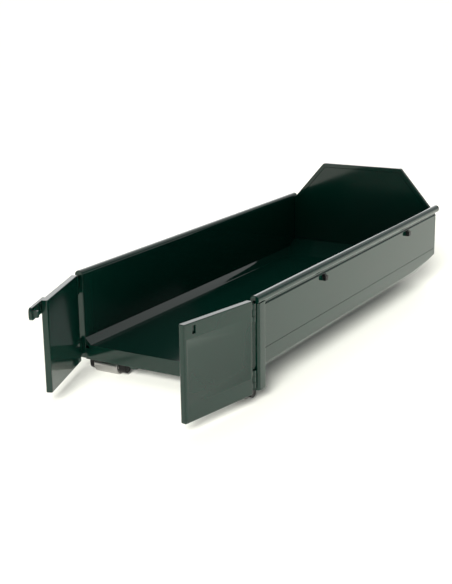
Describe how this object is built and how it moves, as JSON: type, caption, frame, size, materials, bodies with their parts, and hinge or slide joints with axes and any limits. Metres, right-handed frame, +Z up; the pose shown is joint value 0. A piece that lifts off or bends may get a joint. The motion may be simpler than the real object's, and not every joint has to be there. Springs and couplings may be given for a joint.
{
  "type": "roll-off container",
  "caption": "Scale-model hook-lift container: open tub with peaked front wall, two swinging rear doors with a latch, rear rollers, runners and a hook bar.",
  "frame": {"origin": "on the ground, in the middle of the whole length (open doors to hook frame) and of the width", "axes": "+X forward, from the rear doors to the hook bar; +Y to the left; +Z up"},
  "size_m": [0.2366, 0.08, 0.0569],
  "materials": {
    "tub_paint": "gloss",
    "frame_paint": "gloss",
    "door_paint": "gloss",
    "underframe_paint": "semi-gloss",
    "black_fittings": "satin",
    "bright_steel": "turned",
    "dark_steel": "darkened"
  },
  "bodies": {
    "tub": {"floor_pan": "tub_paint", "left_side_wall": "tub_paint", "right_side_wall": "tub_paint", "front_wall": "tub_paint", "rear_sill": "tub_paint", "left_top_rail": "frame_paint", "right_top_rail": "frame_paint", "left_rear_post": "frame_paint", "right_rear_post": "frame_paint", "front_rim_top": "frame_paint", "front_rim_left": "frame_paint", "front_rim_right": "frame_paint", "left_post_knuckles": "door_paint", "right_post_knuckles": "door_paint", "left_runner": "underframe_paint", "right_runner": "underframe_paint", "left_front_skid": "underframe_paint", "right_front_skid": "underframe_paint", "cross_members": "underframe_paint", "left_hook_leg": "underframe_paint", "right_hook_leg": "underframe_paint", "left_hook_cheek": "underframe_paint", "right_hook_cheek": "underframe_paint", "hook_ties": "underframe_paint", "left_roller_bracket": "black_fittings", "right_roller_bracket": "black_fittings", "left_rope_hooks": "black_fittings", "right_rope_hooks": "black_fittings", "hook_bar": "bright_steel", "left_roller_axle": "dark_steel", "right_roller_axle": "dark_steel", "left_hinge_pins": "dark_steel", "right_hinge_pins": "dark_steel"},
    "left_door": {"left_door_panel": "door_paint", "left_door_knuckles": "door_paint", "latch_arm": "door_paint", "latch_rivets": "dark_steel"},
    "right_door": {"right_door_panel": "door_paint", "right_door_knuckles": "door_paint"},
    "left_roller": {"left_roller": "bright_steel"},
    "right_roller": {"right_roller": "bright_steel"}
  },
  "joints": [
    {"name": "left_door_hinge", "type": "hinge", "parent": "tub", "child": "left_door", "pos_m": [-0.07394, 0.0384, 0], "axis": [0, 0, -1], "range_deg": [-69.6, 110.4]},
    {"name": "right_door_hinge", "type": "hinge", "parent": "tub", "child": "right_door", "pos_m": [-0.07394, -0.0384, 0], "axis": [0, 0, 1], "range_deg": [-80.2, 99.8]},
    {"name": "left_roller_spin", "type": "hinge", "parent": "tub", "child": "left_roller", "pos_m": [-0.06899, 0.02795, 0.003], "axis": [0, 1, 0], "continuous": true},
    {"name": "right_roller_spin", "type": "hinge", "parent": "tub", "child": "right_roller", "pos_m": [-0.06899, -0.02795, 0.003], "axis": [0, 1, 0], "continuous": true}
  ]
}
